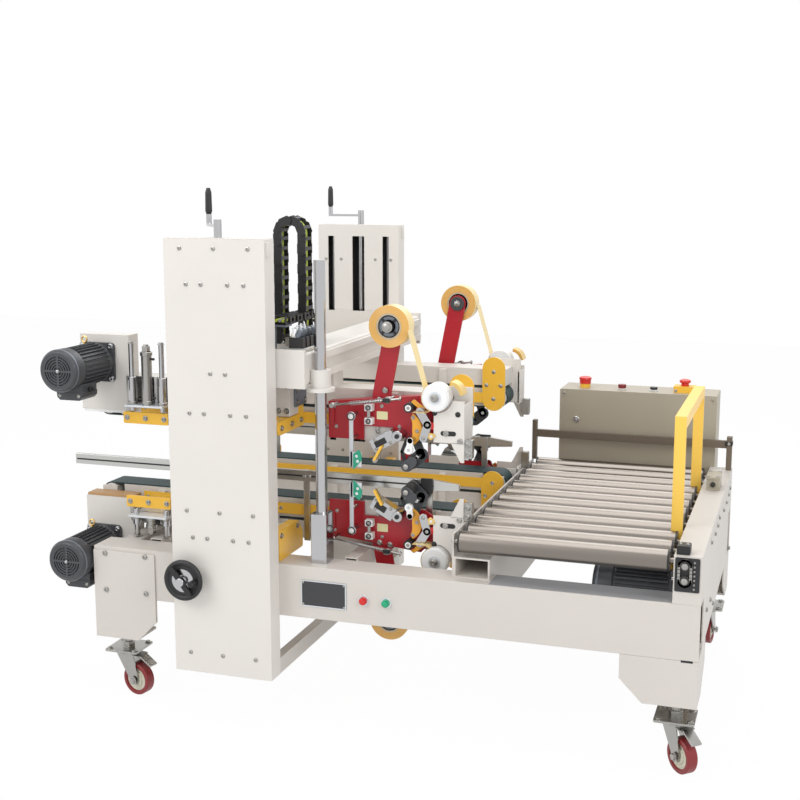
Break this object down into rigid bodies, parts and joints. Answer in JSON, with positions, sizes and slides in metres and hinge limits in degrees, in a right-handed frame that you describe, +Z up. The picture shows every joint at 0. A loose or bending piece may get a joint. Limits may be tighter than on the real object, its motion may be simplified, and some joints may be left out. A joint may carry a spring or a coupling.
{
  "type": "carton sealing machine",
  "caption": "Carton edge sealing machine: belt drives above and below the carton, tape heads, a gantry lifted by screws and a powered roller infeed table on casters.",
  "frame": {"origin": "on the floor, at the centre of the machine's footprint box", "axes": "+Z up, +X along the belts towards the roller infeed table, +Y from the operator side to the cabinet side"},
  "size_m": [2.0124, 1.385, 1.5585],
  "materials": {
    "beige_paint": "semi-gloss powder coat",
    "roller_steel": "turned zinc-plated steel",
    "bright_steel": "hard chrome",
    "head_steel": "zinc-plated steel",
    "belt_rubber": "dark green-black belt",
    "yellow_paint": "yellow powder coat",
    "red_paint": "red powder coat",
    "motor_paint": "dark grey motor enamel",
    "chain_plastic": "black moulded plastic",
    "chain_steel": "oiled roller chain",
    "cabinet_paint": "fine texture powder coat",
    "guide_aluminium": "mill finish",
    "tape_film": "wound adhesive tape",
    "roller_plastic": "white plastic and black rubber rollers",
    "control_plastic": "push buttons",
    "rail_steel": "dark painted rail",
    "caster_zinc": "zinc-plated pressed steel",
    "caster_tread": "dark red polyurethane",
    "handwheel_black": "black rim"
  },
  "bodies": {
    "root": {"side_beams": "beige_paint", "legs": "beige_paint", "cross_members": "beige_paint", "front_column": "beige_paint", "rear_column": "beige_paint", "guide_rods": "bright_steel", "lower_belt_frames": "beige_paint", "lower_belts": "belt_rubber", "lower_guards": "yellow_paint", "lower_motors": "motor_paint", "lower_head_plates": "red_paint", "lower_head_fittings": "head_steel", "lower_head_rollers": "roller_plastic", "table_left_side": "beige_paint", "table_right_side": "beige_paint", "drive_chain": "chain_steel", "pusher_rails": "bright_steel", "control_cabinet": "cabinet_paint", "cabinet_door": "cabinet_paint", "push_buttons": "control_plastic", "rear_guard_rail": "rail_steel", "carton_guides": "guide_aluminium", "caster_mounts": "caster_zinc"},
    "lift": {"gantry": "beige_paint", "cable_chain": "chain_plastic", "upper_belt_frames": "beige_paint", "upper_belts": "belt_rubber", "upper_guards": "yellow_paint", "upper_motors": "motor_paint", "upper_head_plates": "red_paint", "upper_head_fittings": "head_steel", "upper_head_rollers": "roller_plastic"},
    "crank_front": {"crank_front": "bright_steel"},
    "crank_rear": {"crank_rear": "bright_steel"},
    "tape_roll_upper_near": {"tape_roll_upper_near": "tape_film"},
    "tape_roll_upper_far": {"tape_roll_upper_far": "tape_film"},
    "tape_roll_lower_near": {"tape_roll_lower_near": "tape_film"},
    "tape_roll_lower_far": {"tape_roll_lower_far": "tape_film"},
    "roller_01": {"roller_01": "roller_steel"},
    "roller_02": {"roller_02": "roller_steel"},
    "roller_03": {"roller_03": "roller_steel"},
    "roller_04": {"roller_04": "roller_steel"},
    "roller_05": {"roller_05": "roller_steel"},
    "roller_06": {"roller_06": "roller_steel"},
    "roller_07": {"roller_07": "roller_steel"},
    "roller_08": {"roller_08": "roller_steel"},
    "roller_09": {"roller_09": "roller_steel"},
    "roller_10": {"roller_10": "roller_steel"},
    "roller_11": {"roller_11": "roller_steel"},
    "roller_12": {"roller_12": "roller_steel"},
    "fork_front_left": {"fork_front_left": "caster_zinc"},
    "wheel_front_left": {"wheel_front_left": "caster_tread"},
    "fork_front_right": {"fork_front_right": "caster_zinc"},
    "wheel_front_right": {"wheel_front_right": "caster_tread"},
    "fork_rear_left": {"fork_rear_left": "caster_zinc"},
    "wheel_rear_left": {"wheel_rear_left": "caster_tread"},
    "fork_rear_right": {"fork_rear_right": "caster_zinc"},
    "wheel_rear_right": {"wheel_rear_right": "caster_tread"},
    "handwheel": {"handwheel": "handwheel_black"},
    "pusher": {"pusher": "yellow_paint"}
  },
  "joints": [
    {"name": "gantry_lift", "type": "slide", "parent": "root", "child": "lift", "axis": [0, 0, 1], "range_m": [-0.03, 0.28]},
    {"name": "tape_roll_upper_near_spin", "type": "hinge", "parent": "lift", "child": "tape_roll_upper_near", "pos_m": [0.07577, -0.3745, 1.168], "axis": [0, 1, 0], "continuous": true},
    {"name": "tape_roll_upper_far_spin", "type": "hinge", "parent": "lift", "child": "tape_roll_upper_far", "pos_m": [0.07577, 0.3555, 1.168], "axis": [0, 1, 0], "continuous": true},
    {"name": "tape_roll_lower_near_spin", "type": "hinge", "parent": "root", "child": "tape_roll_lower_near", "pos_m": [0.07577, -0.3745, 0.292], "axis": [0, 1, 0], "continuous": true},
    {"name": "tape_roll_lower_far_spin", "type": "hinge", "parent": "root", "child": "tape_roll_lower_far", "pos_m": [0.07577, 0.3555, 0.292], "axis": [0, 1, 0], "continuous": true},
    {"name": "crank_front_turn", "type": "hinge", "parent": "root", "child": "crank_front", "pos_m": [-0.36123, -0.5925, 1.42], "axis": [0, 0, 1], "continuous": true},
    {"name": "crank_rear_turn", "type": "hinge", "parent": "root", "child": "crank_rear", "pos_m": [-0.36123, 0.5735, 1.42], "axis": [0, 0, 1], "continuous": true},
    {"name": "handwheel_turn", "type": "hinge", "parent": "root", "child": "handwheel", "pos_m": [-0.46523, -0.6245, 0.439], "axis": [0, 1, 0], "continuous": true},
    {"name": "pusher_slide", "type": "slide", "parent": "root", "child": "pusher", "axis": [1, 0, 0], "range_m": [-0.45, 0]},
    {"name": "roller_01_spin", "type": "hinge", "parent": "root", "child": "roller_01", "pos_m": [0.60927, -0.5155, 0.588], "axis": [1, 0, 0], "continuous": true},
    {"name": "roller_02_spin", "type": "hinge", "parent": "root", "child": "roller_02", "pos_m": [0.60927, -0.4235, 0.588], "axis": [1, 0, 0], "continuous": true},
    {"name": "roller_03_spin", "type": "hinge", "parent": "root", "child": "roller_03", "pos_m": [0.60927, -0.3315, 0.588], "axis": [1, 0, 0], "continuous": true},
    {"name": "roller_04_spin", "type": "hinge", "parent": "root", "child": "roller_04", "pos_m": [0.60927, -0.2395, 0.588], "axis": [1, 0, 0], "continuous": true},
    {"name": "roller_05_spin", "type": "hinge", "parent": "root", "child": "roller_05", "pos_m": [0.60927, -0.1475, 0.588], "axis": [1, 0, 0], "continuous": true},
    {"name": "roller_06_spin", "type": "hinge", "parent": "root", "child": "roller_06", "pos_m": [0.60927, -0.0555, 0.588], "axis": [1, 0, 0], "continuous": true},
    {"name": "roller_07_spin", "type": "hinge", "parent": "root", "child": "roller_07", "pos_m": [0.60927, 0.0365, 0.588], "axis": [1, 0, 0], "continuous": true},
    {"name": "roller_08_spin", "type": "hinge", "parent": "root", "child": "roller_08", "pos_m": [0.60927, 0.1285, 0.588], "axis": [1, 0, 0], "continuous": true},
    {"name": "roller_09_spin", "type": "hinge", "parent": "root", "child": "roller_09", "pos_m": [0.60927, 0.2205, 0.588], "axis": [1, 0, 0], "continuous": true},
    {"name": "roller_10_spin", "type": "hinge", "parent": "root", "child": "roller_10", "pos_m": [0.60927, 0.3125, 0.588], "axis": [1, 0, 0], "continuous": true},
    {"name": "roller_11_spin", "type": "hinge", "parent": "root", "child": "roller_11", "pos_m": [0.60927, 0.4045, 0.588], "axis": [1, 0, 0], "continuous": true},
    {"name": "roller_12_spin", "type": "hinge", "parent": "root", "child": "roller_12", "pos_m": [0.60927, 0.4965, 0.588], "axis": [1, 0, 0], "continuous": true},
    {"name": "swivel_front_left", "type": "hinge", "parent": "root", "child": "fork_front_left", "pos_m": [-0.74923, -0.4945, 0.15], "axis": [0, 0, 1], "continuous": true},
    {"name": "wheel_spin_front_left", "type": "hinge", "parent": "fork_front_left", "child": "wheel_front_left", "pos_m": [-0.71402, -0.50198, 0.05], "axis": [0.2079, 0.9781, 0], "continuous": true},
    {"name": "swivel_front_right", "type": "hinge", "parent": "root", "child": "fork_front_right", "pos_m": [0.92877, -0.4945, 0.15], "axis": [0, 0, 1], "continuous": true},
    {"name": "wheel_spin_front_right", "type": "hinge", "parent": "fork_front_right", "child": "wheel_front_right", "pos_m": [0.95286, -0.52125, 0.05], "axis": [0.7431, 0.6691, 0], "continuous": true},
    {"name": "swivel_rear_left", "type": "hinge", "parent": "root", "child": "fork_rear_left", "pos_m": [-0.74923, 0.4755, 0.15], "axis": [0, 0, 1], "continuous": true},
    {"name": "wheel_spin_rear_left", "type": "hinge", "parent": "fork_rear_left", "child": "wheel_rear_left", "pos_m": [-0.7154, 0.48781, 0.05], "axis": [-0.342, 0.9397, 0], "continuous": true},
    {"name": "swivel_rear_right", "type": "hinge", "parent": "root", "child": "fork_rear_right", "pos_m": [0.92877, 0.4755, 0.15], "axis": [0, 0, 1], "continuous": true},
    {"name": "wheel_spin_rear_right", "type": "hinge", "parent": "fork_rear_right", "child": "wheel_rear_right", "pos_m": [0.93253, 0.5113, 0.05], "axis": [-0.9945, 0.1045, 0], "continuous": true}
  ],
  "couplings": [
    {"joint": "roller_02_spin", "follows": "roller_01_spin", "ratio": 1},
    {"joint": "roller_03_spin", "follows": "roller_01_spin", "ratio": 1},
    {"joint": "roller_04_spin", "follows": "roller_01_spin", "ratio": 1},
    {"joint": "roller_05_spin", "follows": "roller_01_spin", "ratio": 1},
    {"joint": "roller_06_spin", "follows": "roller_01_spin", "ratio": 1},
    {"joint": "roller_07_spin", "follows": "roller_01_spin", "ratio": 1},
    {"joint": "roller_08_spin", "follows": "roller_01_spin", "ratio": 1},
    {"joint": "roller_09_spin", "follows": "roller_01_spin", "ratio": 1},
    {"joint": "roller_10_spin", "follows": "roller_01_spin", "ratio": 1},
    {"joint": "roller_11_spin", "follows": "roller_01_spin", "ratio": 1},
    {"joint": "roller_12_spin", "follows": "roller_01_spin", "ratio": 1}
  ]
}
